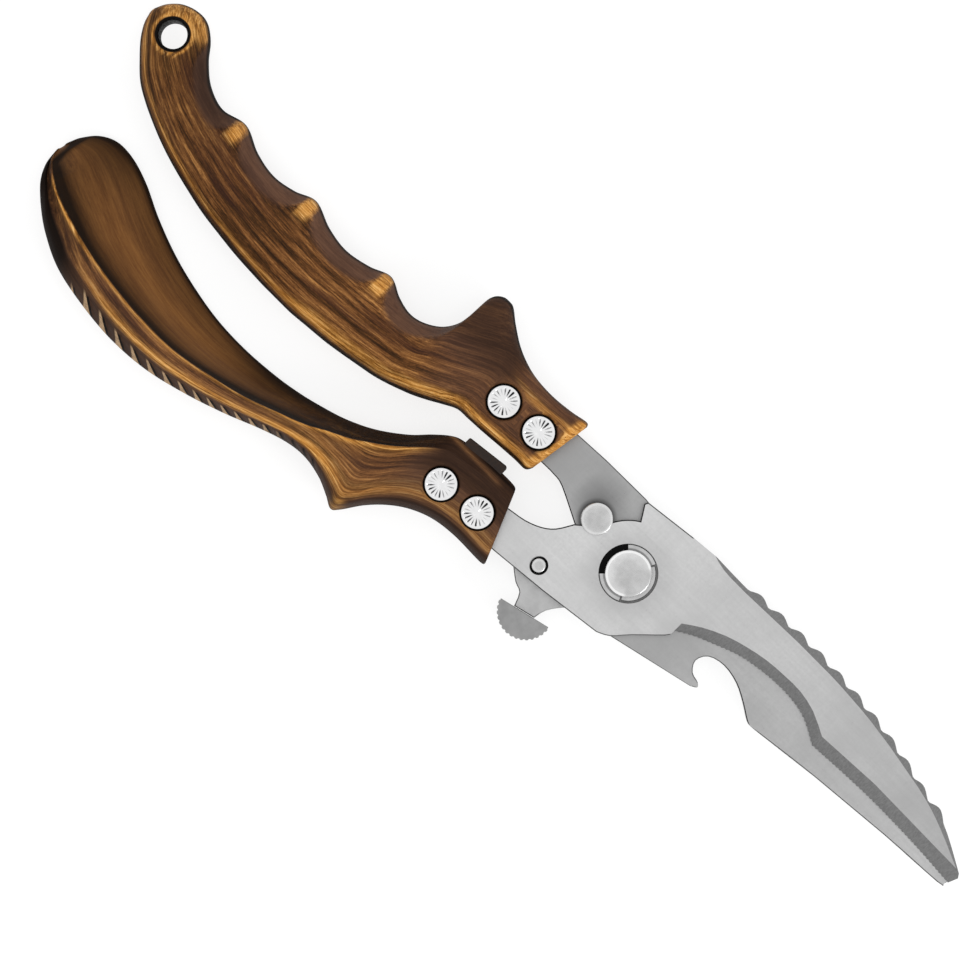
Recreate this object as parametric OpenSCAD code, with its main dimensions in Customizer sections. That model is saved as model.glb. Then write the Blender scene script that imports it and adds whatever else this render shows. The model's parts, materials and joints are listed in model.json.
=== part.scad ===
// Poultry shears with riveted handles, a bottle-opener notch and a thumb lock.
// Every shape is drawn about the pivot, with X towards the tip, Y towards the finger handle
// and Z out of the front face. place() then lifts the whole set onto its back.

/* [Blades] */
// Thickness of each blade
blade_t = 2.8; // [2.4:0.1:3]
// Gap between the two blades' mating faces
blade_gap = 0.1; // [0.06:0.02:0.2]
// Height of the scales along the front blade's spine
scale_h = 1.1; // [0.4:0.1:1.4]
// Depth of the fine teeth on the cutting edges
tooth_h = 0.25; // [0.1:0.05:0.4]

/* [Pivot] */
// Radius of the pivot bolt's head
bolt_head_r = 5.1; // [4.4:0.1:5.4]
// Radius of the pivot bolt's shank
bolt_r = 2.5; // [2:0.1:2.7]
// Radial clearance of every running fit
running_fit = 0.05; // [0.02:0.01:0.1]

/* [Stop] */
// Radius of the stop stud's shank
stud_r = 1.8; // [1.4:0.1:1.9]
// Radius of the stop stud's head
stud_head_r = 3.5; // [2.6:0.1:3.6]
// Angle through which the blades open
opening_angle = 35; // [20:1:35]

/* [Handles] */
// Half the thickness of the handles where the rivets are
grip_half_t = 8; // [7.6:0.1:9]
// Depth of the palm handle's back below the middle of the blades
palm_depth = 10.5; // [10:0.1:12]
// Radius of the rivet caps
cap_r = 3.6; // [3:0.1:3.8]
// Radius of the hole for hanging
hang_r = 3.1; // [2.5:0.1:3.9]

/* [Hidden] */

$fn = 64;
eps = 0.01;

// Height of each layer, measured from the plane where the blades meet
near_z = blade_gap / 2;
face_z = near_z + blade_t;

// The middle of the whole set in X and Y, and its back in Z
set_middle = [-31.05, -9.95, -palm_depth];

// Places about the pivot
palm_rivets = [[-42.4, -15], [-32.5, -13.8]];
finger_rivets = [[-45.4, 7.2], [-35.4, 7.8]];
hang_at = [-152.3, 12.8];
stud_orbit = 13.7;
stud_angle = 165;
stud_at = stud_orbit * [cos(stud_angle), sin(stud_angle)];
lock_at = [-15, -12.5];

// Pivot stack
recess_r = bolt_head_r + 1.4;
recess_depth = 0.8;
washer_t = 0.55;
bush_r = bolt_r + 0.9;
bolt_head_t = 1.75;
nut_t = 2.6;
nut_r = 4.6;

// Torsion spring and the pocket that holds it
wire_r = 0.4;
coil_r = 4.95;
coil_turns = 2;
coil_low = -0.85;
coil_high = 0.45;
pocket_r = 5.9;
pocket_up = 0.95;
pocket_down = -1.35;
leg_r = 8;
leg_angle = 200;

// Lock
lever_top = -0.15;
lever_t = 2.2;
lock_pin_r = 1.3;
lock_head_r = 1.6;
lock_recess_r = 2.1;
lock_recess_depth = 0.6;
lock_washer_t = 0.35;
pad_r = 6.25;
pad_tilt = 13.5;
pad_low = -4.2;
pad_high = 1.8;

// Rivets
post_r = 1.9;
cap_t = 1.4;
cap_seat = grip_half_t - 1.1;
cap_ring = 0.35;

// ---- Curves ----------------------------------------------------------------------------

// A point a share t of the way from row i to row i + 1 of a smooth curve through the rows
function curve_point(rows, i, t) =
    let (a = rows[max(i - 1, 0)], b = rows[i])
    let (c = rows[i + 1], d = rows[min(i + 2, len(rows) - 1)])
    0.5 * (2 * b + (c - a) * t + (2 * a - 5 * b + 4 * c - d) * t * t
        + (3 * b - a - 3 * c + d) * t * t * t);

// A smooth curve through the rows, with steps points for each stretch between two rows
function curve(rows, steps) = concat(
    [for (i = [0:len(rows) - 2]) for (k = [0:steps - 1]) curve_point(rows, i, k / steps)],
    [rows[len(rows) - 1]]);

function mix(a, b, share) = a + (b - a) * share;
function arc(radius, from, to, count) =
    [for (i = [0:count]) let (a = mix(from, to, i / count)) radius * [cos(a), sin(a)]];

// A closed skin over rings that all have the same number of points
module skin(rings) {
    count = len(rings[0]);
    last = (len(rings) - 1) * count;
    sides = [for (i = [0:len(rings) - 2]) for (j = [0:count - 1])
        [i * count + j, (i + 1) * count + j, (i + 1) * count + (j + 1) % count,
            i * count + (j + 1) % count]];
    start = [for (j = [0:count - 1]) j];
    end = [for (j = [count - 1:-1:0]) last + j];
    polyhedron([for (ring = rings) each ring], concat([start], sides, [end]), convexity = 10);
}

module place() {
    translate(-set_middle) children();
}

// A cylinder between two heights
module disc(radius, low, high) {
    translate([0, 0, low]) cylinder(r = radius, h = high - low);
}

module ring(outer, inner, low, high) {
    difference() {
        disc(outer, low, high);
        disc(inner, low - 1, high + 1);
    }
}

// A disc whose upper rim is cut off at 45 degrees
module chamfered_disc(radius, low, high, cut) {
    disc(radius, low, high - cut);
    translate([0, 0, high - cut]) cylinder(r1 = radius, r2 = radius - cut, h = cut);
}

module at_each(places) {
    for (p = places) translate([p.x, p.y, 0]) children();
}

// ---- Blade outlines ----------------------------------------------------------------------

notch_x = [15.8, 54.7];
tip_x = 96.4;
scales_x = [21, 87];
scale_pitch = 6;
teeth_pitch = 1;

// The front blade's cutting edge: the bone notch, then the straight edge out to the tip
notch_edge = curve([[15.8, -1.9], [19.5, 0.3], [24.5, 2.4], [29.5, 4.3], [34.5, 5.3],
    [39.5, 5.8], [44.5, 5.7], [49.5, 4.6], [54.7, 1.8]], 4);
straight_edge = curve([[54.7, 1.8], [70, 2.5], [85, 2.3], [96.4, 1.5]], 4);

// Line on the front face where the bevel of that edge starts
front_bevel = concat(
    curve([[15.8, 0.5], [19.5, 3], [24.5, 5.4], [29.5, 6.9], [34.5, 7.9], [39.5, 8.3],
        [44.5, 8.3], [49.5, 7.2], [54.7, 4.7]], 2),
    curve([[56.5, 4.8], [70, 5.5], [85, 5.2], [99, 5]], 3));

// The spine: the foot of its scales, and the line where the front face ends
spine_foot = curve([[11, 16.1], [21, 15.9], [30, 16.3], [40, 16.5], [50, 16.1], [60, 15.1],
    [70, 13.5], [80, 11.2], [87, 9.9], [96.4, 4.9]], 6);
spine_bevel = curve([[99, 3.2], [96, 4.8], [87, 8.7], [80, 11], [70, 13], [60, 14.5],
    [50, 15.3], [40, 15.5], [30, 15.3], [21, 15], [14, 15.2], [9, 16.6]], 3);

function tooth(x) = floor(2 * x / teeth_pitch) % 2 == 0 ? tooth_h : 0;
function scale_at(x) = x < scales_x[0] || x > scales_x[1] ? 0
    : scale_h * pow(0.5 - 0.5 * cos(360 * (x - scales_x[0]) / scale_pitch), 0.7);

front_tang_low = [[-48.5, -18.8], [-24, -17.1], [-10.5, -15.8], [-0.5, -14.5]];
front_heel = curve([[4, -13.9], [6.8, -12.4], [10, -8.9], [15.1, -3.9], [15.8, -2.6]], 3);
front_tang_top = [each curve([[-15.9, -0.8], [-18, -4.2], [-20.5, -6.2], [-24, -7.6],
    [-28, -8.3]], 3), [-48.5, -12]];

front_outline = concat(
    front_tang_low, front_heel,
    [for (x = [notch_x[0]:teeth_pitch / 2:notch_x[1]]) [x, lookup(x, notch_edge) + tooth(x)]],
    [for (x = [notch_x[1] + 0.1:teeth_pitch / 2:tip_x])
        [x, lookup(x, straight_edge) + tooth(x)]],
    [[96.7, 1.6], [97.4, 3.8], [96.7, 4.7]],
    [for (x = [95:-scale_pitch / 8:11]) [x, lookup(x, spine_foot) + scale_at(x)]],
    [[4.5, 15.5], [-7.8, 14], [-12.5, 4.5], [-14.3, 0.6]], front_tang_top);

// The rear blade's hidden cutting edge, and the line where its bevel starts on the back
rear_edge = curve([[12, 9.6], [25, 8.8], [42, 7.6], [60, 5.8], [80, 3.9], [96, 2.2]], 4);
rear_bevel = curve([[10, 7.2], [25, 6], [42, 4.6], [60, 2.8], [80, 1.3], [99, -0.3]], 3);

rear_tang_top = [[4, 12.6], [-8.5, 14.2], [-20.5, 14.1], [-50, 12.6]];
rear_tang_low = [[-50, 3], each curve([[-30, 3.8], [-26.5, 3.8], [-23.5, 3.2], [-16, -0.5],
    [-10, -3.2]], 3)];

// Heel of the rear blade: a step for the lock's nose between two stretches of small radius
heel_r = 9.2;
heel_step_r = 11.5;
heel_step = [260, 280];
heel_end = 297.5;
rear_heel = concat(
    arc(heel_r, 205, heel_step[0] - 1, 8), arc(heel_step_r, heel_step[0], heel_step[1], 4),
    arc(heel_r, heel_step[1] + 1, heel_end, 4));

// Spine of the rear blade, with the bottle opener's hook and notch
rear_spine = concat(
    [[6.8, -12.4]],
    curve([[26.8, -7.8], [28.2, -6.9], [27.4, -6], [25.2, -5.3], [23.8, -3], [25.2, -0.4],
        [29, 0.6], [33.5, -0.2], [37.5, -2.2], [41, -4.4], [42.5, -4.7]], 3),
    curve([[44.5, -4.5], [60, -2.6], [80, -0.8], [95, 0.1], [96.3, 0.8]], 3));

rear_outline = concat(
    rear_heel, rear_spine, [[96.6, 2]],
    [for (x = [95.5:-teeth_pitch / 2:12.5]) [x, lookup(x, rear_edge) - tooth(x)]],
    rear_tang_top, rear_tang_low);

// ---- Blades ------------------------------------------------------------------------------

module plate(outline, low, high) {
    translate([0, 0, low]) linear_extrude(high - low) polygon(outline);
}

// A wedge that cuts a bevel off the front face, from a line on it out to one side
module bevel_cut(line, out, drop) {
    skin([for (p = line) [[p.x, p.y, face_z], [p.x, p.y, face_z + 1],
        [p.x, p.y + out, face_z + 1], [p.x, p.y + out, face_z - drop]]]);
}

// The way the stop stud's shank takes through the front blade, from closed to fully open
module stud_track() {
    shank_half_angle = asin(stud_r / stud_orbit) + 0.5;
    from = stud_angle - opening_angle - shank_half_angle;
    inner = arc(stud_orbit - stud_r - 0.25, from, stud_angle, 24);
    plate(concat(inner, arc(stud_orbit + 6, stud_angle, from, 4)), -1, face_z + 1);
    at_each([stud_at]) disc(stud_r + running_fit, -1, face_z + 1);
}

module rivet_holes(places) {
    at_each(places) disc(post_r, -face_z - 1, face_z + 1);
}

// Slot for one leg of the spring, swept through an angle
module leg_slot(angle, sweep, low, high) {
    half = 7;
    plate(concat([[0, 0]], arc(leg_r + 0.5, angle - half, angle + sweep + half, 8)), low, high);
}

module front_blade() {
    color("#c9cacb") place() difference() {
        plate(front_outline, near_z, face_z);
        bevel_cut(front_bevel, -4, 3.3);
        bevel_cut(spine_bevel, 3, 3);
        disc(bush_r, -1, face_z + 1);
        disc(recess_r, face_z - recess_depth, face_z + 1);
        disc(pocket_r, -1, pocket_up);
        leg_slot(20, 0, -1, pocket_up);
        stud_track();
        at_each([lock_at]) {
            disc(lock_pin_r, -1, face_z + 1);
            disc(lock_recess_r, face_z - lock_recess_depth, face_z + 1);
        }
        rivet_holes(palm_rivets);
    }
}

module rear_blade() {
    color("#a9abad") place() difference() {
        plate(rear_outline, -face_z, -near_z);
        mirror([0, 0, 1]) mirror([0, 1, 0])
            bevel_cut([for (p = rear_bevel) [p.x, -p.y]], -4, 3.6);
        disc(bush_r + running_fit, -face_z - 1, 1);
        disc(pocket_r, pocket_down, 1);
        leg_slot(leg_angle, opening_angle, pocket_down, 1);
        at_each([stud_at]) disc(stud_r, -face_z - 1, 1);
        rivet_holes(finger_rivets);
    }
}

// ---- Handles -----------------------------------------------------------------------------

// Finger handle from its front end to the hanging eye: a point on its top edge, the point
// across from it on its bottom edge, half the thickness, and how square the section is
finger_rows = [
    [-28.8, 16.1, -30.9, 1.4, 7.2, 7], [-29.6, 16.8, -31.9, 0.2, 7.9, 7],
    [-33.5, 16.1, -35, 0.1, 8, 6], [-38.5, 15.6, -39.5, -0.2, 8, 6],
    [-43.5, 15.8, -44.5, -0.6, 8, 6], [-47.5, 16.7, -48.5, -0.8, 8, 5],
    [-51.5, 18.4, -51.5, -1, 8, 4], [-55.5, 21, -54.5, -2.5, 8, 3.5],
    [-59, 23.5, -57.5, -4.2, 8, 3], [-61.8, 23.2, -60.5, -5.7, 8, 3],
    [-63.5, 21, -63, -6.7, 8, 3], [-63.7, 16.5, -65.5, -7.6, 8, 3],
    [-64.4, 12.5, -67.7, -8.3, 8, 3], [-66.5, 9.3, -70, -8.9, 8, 2.8],
    [-70, 7.1, -72.7, -9.4, 8, 2.8], [-73.5, 6.4, -75.5, -9.9, 8, 2.8],
    [-77.5, 7.3, -79, -10.5, 8, 2.8], [-82, 9.2, -82.5, -11, 8, 2.8],
    [-87, 7.4, -87, -11.4, 8, 2.8], [-93, 6.3, -93, -11.9, 8, 2.8],
    [-99, 7.2, -99, -11.9, 8, 2.8], [-105, 9.3, -104.5, -11.7, 8, 2.8],
    [-110, 7.5, -109.5, -11.4, 8, 2.8], [-115.5, 6.6, -115, -10.8, 8, 2.8],
    [-121.5, 7.7, -121, -10, 7.9, 2.8], [-127.5, 10.2, -127, -8.7, 7.7, 2.8],
    [-133.5, 9, -132.5, -7.3, 7.4, 2.8], [-138.8, 10.7, -137.5, -5.7, 7, 2.8],
    [-143, 14.1, -142, -3.9, 6.6, 2.8], [-146, 17.7, -146.5, -1.8, 6.2, 2.8],
    [-149.3, 20, -150.5, 0.6, 5.9, 2.8], [-152.5, 20.2, -154, 3.9, 5.6, 2.8],
    [-155.8, 19, -157, 7.2, 5.2, 2.6], [-158.2, 16.7, -158.8, 10.1, 4.2, 2.4],
    [-159.4, 14.4, -159.5, 12.3, 2.6, 2]
];

function signed_pow(value, power) = sign(value) * pow(abs(value), power);

function finger_ring(row) =
    let (top = [row[0], row[1], 0], bottom = [row[2], row[3], 0])
    let (half_t = row[4] * grip_half_t / 8, power = 2 / row[5], count = 20)
    [for (j = [0:count - 1]) let (a = -360 * (j + 0.5) / count)
        (top + bottom) / 2 + signed_pow(cos(a), power) * (top - bottom) / 2
            + [0, 0, signed_pow(sin(a), power) * half_t]];

// Palm handle from its front end to its heel: a point on its outer edge, the point across from
// it on its inner edge, how far across the ridge lies, how deep the scoop is (-1 where the
// inner side is full instead), and the ridge's height
palm_rows = [
    [-23.5, -20.4, -30, -4.8, 0.78, -1, 7.2], [-24.6, -21, -31.2, -4, 0.79, -1, 7.8],
    [-32.5, -20.9, -37, -4, 0.8, -1, 7.9], [-38.5, -21.7, -41.5, -4.5, 0.8, -1, 7.9],
    [-43.5, -23.7, -46, -5, 0.8, -1, 7.9], [-47.5, -26.5, -48.5, -6.2, 0.8, -0.8, 7.9],
    [-51, -30.1, -51.5, -8.8, 0.8, -0.3, 7.9], [-54, -34.4, -54.5, -11.9, 0.82, 0, 8],
    [-55.7, -35.8, -58, -14.7, 0.82, 0, 8], [-58.5, -34.4, -61, -16.7, 0.79, 0, 8.1],
    [-62.5, -32.7, -64, -18.3, 0.72, 0.1, 8.3], [-67.5, -31.8, -68, -20, 0.63, 0.25, 8.6],
    [-72.5, -32.3, -72.5, -21.4, 0.5, 0.5, 8.9], [-78.5, -34.2, -78, -22.8, 0.45, 0.75, 9.2],
    [-86.5, -37.4, -84.5, -23.9, 0.42, 0.95, 9.5], [-95.5, -40.4, -93.5, -24.6, 0.41, 1, 9.7],
    [-105.5, -42.8, -102.5, -24.3, 0.39, 1, 9.8],
    [-115.5, -43.5, -111.5, -22.8, 0.38, 1, 9.8],
    [-125.5, -42.6, -119.5, -20.7, 0.355, 1, 9.5],
    [-134.5, -40.7, -127.5, -17.7, 0.32, 1, 8.8],
    [-141.5, -37.4, -134.5, -14.4, 0.26, 1, 7.4],
    [-146.5, -33.9, -140.5, -12.5, 0.2, 1, 5],
    [-150.6, -30, -145.5, -12.3, 0.16, 1, 1.5],
    [-152.6, -26.9, -149.3, -14.1, 0.13, 1, -1.5],
    [-153.3, -24.4, -151.9, -17.2, 0.12, 1, -3.5], [-153.5, -22.7, -153, -19.7, 0.12, 1, -5]
];

// The palm handle's section: pairs of a share across and a height, from the outer edge over
// the ridge, down through the scoop to the inner edge, and back behind
function palm_section(ridge, scoop, ridge_z) =
    let (rim = 1 - ridge, full = max(-scoop, 0), dip = max(scoop, 0))
    let (back = -mix(7.5, palm_depth, dip))
    [[0, min(dip, ridge_z - 1)], [0.06, min(mix(5.8, 5, dip), ridge_z - 0.6)],
        [min(0.17, ridge * 0.6), ridge_z - mix(0.5, 1.8, dip)],
        [mix(0.17, ridge, 0.6) * min(1, ridge * 5), ridge_z - mix(0, 0.7, dip)],
        [ridge, ridge_z],
        [ridge + 0.06 * rim, mix(ridge_z - mix(1, 0.3, full), min(ridge_z - 1, 7), dip)],
        [ridge + 0.2 * rim, mix(mix(5.4, 7.1, full), min(ridge_z - 2, 1), dip)],
        [ridge + 0.5 * rim, mix(mix(3.4, 6.3, full), min(-4.6, ridge_z - 2.5), dip)],
        [ridge + 0.8 * rim, mix(mix(1.6, 5.2, full), -6.4, dip)],
        [1, mix(mix(-0.5, 3.4, full), -8, dip)],
        [0.96, mix(-5.6, -9.6, dip)], [0.8, back], [0.45, back], [0.2, mix(back, -8.8, dip)],
        [0.05, mix(-5.5, -5, dip)]];

function palm_ring(row) =
    let (outer = [row[0], row[1], 0], inner = [row[2], row[3], 0])
    [for (p = palm_section(row[4], row[5], row[6])) mix(outer, inner, p.x) + [0, 0, p.y]];

// Seats for a rivet's post and for its caps in both faces of a handle
module rivet_seats(places) {
    at_each(places) {
        disc(post_r, -grip_half_t - 2, grip_half_t + 2);
        disc(cap_r + cap_ring, cap_seat, grip_half_t + 2);
        disc(cap_r + cap_ring, -grip_half_t - 2, -cap_seat);
    }
}

pad_outline = [[-45.1, -7.4], [-34.6, -6.2], [-34.7, -2.6], [-35.2, -2.2], [-45.1, -3.4]];
pad_half_w = 5;

module palm_handle() {
    rings = [for (row = curve(palm_rows, 2)) palm_ring(row)];
    color("#5a3b22") place() difference() {
        skin(rings);
        plate(concat(front_tang_low, front_tang_top), near_z, face_z);
        plate(pad_outline, -pad_half_w, pad_half_w);
        rivet_seats(palm_rivets);
    }
}

module finger_handle() {
    rings = [for (row = curve(finger_rows, 2)) finger_ring(row)];
    hang_half_l = 4.2;
    chamfer_h = 3;
    color("#63401f") place() difference() {
        skin(rings);
        plate(concat(rear_tang_top, rear_tang_low), -face_z, -near_z);
        rivet_seats(finger_rivets);
        at_each([hang_at]) {
            disc(hang_r, -grip_half_t, grip_half_t);
            for (side = [0, 1]) mirror([0, 0, side]) translate([0, 0, hang_half_l])
                cylinder(r1 = hang_r, r2 = hang_r + chamfer_h, h = chamfer_h);
        }
    }
}

module bumper_pad() {
    color("#2b2320") place() plate(pad_outline, -pad_half_w, pad_half_w);
}

// ---- Rivets ------------------------------------------------------------------------------

module rivet_posts(places) {
    at_each(places) disc(post_r, -cap_seat, cap_seat);
}

module rivet_cap() {
    chamfered_disc(cap_r, cap_seat, cap_seat + cap_t, 0.5);
}

module palm_rivet_posts() {
    color("#9a9c9e") place() rivet_posts(palm_rivets);
}

module palm_rivet_caps() {
    color("#e6e8ea") place() at_each(palm_rivets) rivet_cap();
}

module palm_rivet_rear_caps() {
    color("#e6e8ea") place() at_each(palm_rivets) mirror([0, 0, 1]) rivet_cap();
}

module finger_rivet_posts() {
    color("#9a9c9e") place() rivet_posts(finger_rivets);
}

module finger_rivet_caps() {
    color("#e6e8ea") place() at_each(finger_rivets) rivet_cap();
}

module finger_rivet_rear_caps() {
    color("#e6e8ea") place() at_each(finger_rivets) mirror([0, 0, 1]) rivet_cap();
}

// ---- Pivot -------------------------------------------------------------------------------

head_low = face_z - recess_depth + washer_t;
rear_washer_top = -face_z - running_fit;
nut_top = rear_washer_top - washer_t;

module pivot_bolt() {
    color("#c4c5c7") place() {
        chamfered_disc(bolt_head_r, head_low, head_low + bolt_head_t, 0.4);
        disc(bolt_r, nut_top - nut_t - 0.4, head_low + eps);
    }
}

module pivot_bush() {
    color("#b7a777") place() ring(bush_r, bolt_r + eps, rear_washer_top, face_z - recess_depth);
}

module pivot_front_washer() {
    color("#b9babc") place()
        ring(recess_r - 0.5, bolt_r + eps, face_z - recess_depth, head_low);
}

module pivot_rear_washer() {
    color("#b9babc") place() ring(6, bolt_r + eps, nut_top, rear_washer_top);
}

module pivot_nut() {
    color("#a8aaac") place() difference() {
        translate([0, 0, nut_top - nut_t]) cylinder(r = nut_r, h = nut_t, $fn = 6);
        disc(bolt_r + eps, nut_top - nut_t - 1, nut_top + 1);
    }
}

// Middle line of the spring: its front leg, its turns and its rear leg
function spring_line() =
    let (steps = 20 * coil_turns, front = 20, total = leg_angle - front - 360 * coil_turns)
    concat([[leg_r * cos(front), leg_r * sin(front), coil_high]],
        [for (i = [0:steps]) let (a = front + total * i / steps)
            [coil_r * cos(a), coil_r * sin(a), mix(coil_high, coil_low, i / steps)]],
        [[leg_r * cos(leg_angle), leg_r * sin(leg_angle), coil_low]]);

function unit(v) = v / norm(v);

// Ring of wire about a point, square to the way the wire runs there
function wire_ring(at, along) =
    let (side = unit(cross(along, [0, 0, 1])), up = cross(side, along))
    [for (k = [0:7]) at + wire_r * (cos(45 * k) * side + sin(45 * k) * up)];

module pivot_spring() {
    line = spring_line();
    last = len(line) - 1;
    color("#8d8f92") place() skin([for (i = [0:last])
        wire_ring(line[i], unit(line[min(i + 1, last)] - line[max(i - 1, 0)]))]);
}

// ---- Stop and lock -----------------------------------------------------------------------

module stop_stud() {
    head_gap = 0.25;
    head_t = 1.5;
    color("#c4c5c7") place() at_each([stud_at]) {
        disc(stud_r, -face_z - 0.5, face_z + head_gap + eps);
        chamfered_disc(stud_head_r, face_z + head_gap, face_z + head_gap + head_t, 0.35);
        disc(stud_r + 0.8, -face_z - 0.7, -face_z);
    }
}

lever_low = lever_top - lever_t;
lock_head_low = face_z - lock_recess_depth;

// The lever's arm from its pin to the nose, and its neck down to the thumb pad
lever_outline = concat(
    curve([[-18.9, -16.4], [-16, -18.6], [-13.8, -19.6], [-12.5, -22.5]], 3),
    curve([[-7.6, -21.3], [-6.9, -18.4], [-4.6, -15.2], [-2.2, -13.6]], 3),
    [[-2, -12.2], [-3.9, -12.1], [-4.8, -13.2], [-8, -12.2]],
    curve([[-11.5, -10.2], [-15, -9.4], [-18.2, -11.5], [-18.9, -14], [-18.9, -16.4]], 3));

module lock_lever() {
    color("#b3b5b6") place() difference() {
        plate(lever_outline, lever_low, lever_top);
        at_each([lock_at]) disc(lock_pin_r + running_fit, lever_low - 1, 1);
    }
}

// Half-moon thumb pad with a knurled rim, pressed over the end of the lever's neck
module lock_thumb_pad() {
    chord_middle = [-9.9, -21.6];
    knurls = 16;
    color("#8f9193") place() difference() {
        translate([chord_middle.x, chord_middle.y, pad_low]) rotate(pad_tilt)
            linear_extrude(pad_high - pad_low) difference() {
                circle(r = pad_r);
                translate([-pad_r, -0.4]) square([2 * pad_r, 2 * pad_r]);
                for (i = [0:knurls - 1]) rotate(180 + 180 * (i + 0.5) / knurls)
                    translate([pad_r + 0.15, 0]) circle(r = 0.4, $fn = 16);
            }
        plate(lever_outline, lever_low, lever_top);
    }
}

module lock_pin() {
    washer_low = lever_low - running_fit - lock_washer_t;
    color("#b9babc") place() at_each([lock_at]) {
        disc(lock_pin_r, washer_low - eps, lock_head_low + eps);
        chamfered_disc(lock_head_r, lock_head_low, face_z + 0.1, 0.2);
        disc(2.6, washer_low - 0.7, washer_low);
    }
}

module lock_washer() {
    high = lever_low - running_fit;
    color("#9a9c9e") place() at_each([lock_at])
        ring(2.6, lock_pin_r + eps, high - lock_washer_t, high);
}

front_blade();
rear_blade();
palm_handle();
finger_handle();
bumper_pad();
palm_rivet_posts();
palm_rivet_caps();
palm_rivet_rear_caps();
finger_rivet_posts();
finger_rivet_caps();
finger_rivet_rear_caps();
pivot_bolt();
pivot_bush();
pivot_front_washer();
pivot_rear_washer();
pivot_nut();
pivot_spring();
stop_stud();
lock_lever();
lock_thumb_pad();
lock_pin();
lock_washer();
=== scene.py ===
"""Looks of the poultry shears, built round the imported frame.

Lengths are in millimetres about the pivot, with X towards the tip, Y towards the finger handle
and Z out of the front face, as in part.scad. to_frame() turns them into the frame's metres.
"""

import json
import math
from types import SimpleNamespace

import bmesh
import bpy
import numpy as np
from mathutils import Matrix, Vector, kdtree


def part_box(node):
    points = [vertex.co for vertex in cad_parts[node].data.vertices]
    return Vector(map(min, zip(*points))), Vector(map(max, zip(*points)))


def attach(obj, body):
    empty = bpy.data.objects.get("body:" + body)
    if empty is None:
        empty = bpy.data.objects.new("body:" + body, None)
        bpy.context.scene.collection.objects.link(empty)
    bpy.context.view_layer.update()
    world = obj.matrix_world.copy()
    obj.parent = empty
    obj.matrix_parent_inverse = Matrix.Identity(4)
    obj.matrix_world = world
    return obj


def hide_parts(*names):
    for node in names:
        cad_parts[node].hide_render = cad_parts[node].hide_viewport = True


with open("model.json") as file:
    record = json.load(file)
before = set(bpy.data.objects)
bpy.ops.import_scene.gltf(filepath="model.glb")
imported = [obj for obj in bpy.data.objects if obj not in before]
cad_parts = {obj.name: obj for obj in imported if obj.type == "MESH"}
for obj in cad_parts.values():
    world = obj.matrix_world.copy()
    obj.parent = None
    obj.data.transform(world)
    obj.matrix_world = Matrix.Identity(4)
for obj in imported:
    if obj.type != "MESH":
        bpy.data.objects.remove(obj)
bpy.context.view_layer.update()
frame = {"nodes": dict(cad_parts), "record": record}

PIVOT = np.array(frame["record"]["behaviour"]["joints"][0]["pos_m"])
MM = 0.001

# Points round a turned shape, the radius at which its profile meets the axis, and the angle in
# degrees from which an edge is sharp
TURN_STEPS, AXIS_R, SHARP_ANGLE = 96, 0.001, 35

# ---- Sizes shared with the CAD ----

GRIP_HALF_T = 8
PALM_DEPTH = 10.5
CAP_R = 3.6
CAP_RING = 0.35
CAP_SEAT = GRIP_HALF_T - 1.1
SEAT_R = CAP_R + CAP_RING
HANG_R = 3.1
HANG_HALF_L = 4.2
HANG_AT = (-152.3, 12.8)
PALM_RIVETS = [(-42.4, -15), (-32.5, -13.8)]
FINGER_RIVETS = [(-45.4, 7.2), (-35.4, 7.8)]
PAD_OUTLINE = [(-45.1, -7.4), (-34.6, -6.2), (-34.7, -2.6), (-35.2, -2.2), (-45.1, -3.4)]
PAD_HALF_W = 5
FACE_Z = 2.85
RECESS_R = 6.5
RECESS_FLOOR = FACE_Z - 0.8
BOLT_HEAD_R = 5.1
BOLT_R = 2.5
BOLT_LOW, BOLT_HEAD_LOW, BOLT_TOP = -6.45, 2.6, 4.35
STUD_AT = (-13.233, 3.546)
STUD_R, STUD_HEAD_R, STUD_COLLAR_R = 1.8, 3.5, 2.6
STUD_LOW, STUD_COLLAR_TOP, STUD_HEAD_LOW, STUD_TOP = -3.55, -2.85, 3.1, 4.6
LOCK_AT = (-15, -12.5)
LOCK_RECESS_R = 2.1
RECESSES = [((0, 0), RECESS_R), (LOCK_AT, LOCK_RECESS_R)]
LOCK_PIN_R, LOCK_HEAD_R, LOCK_TAIL_R = 1.3, 1.6, 2.6
LOCK_LOW, LOCK_TAIL_TOP, LOCK_HEAD_LOW, LOCK_TOP = -3.45, -2.75, 2.25, 2.95

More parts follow.
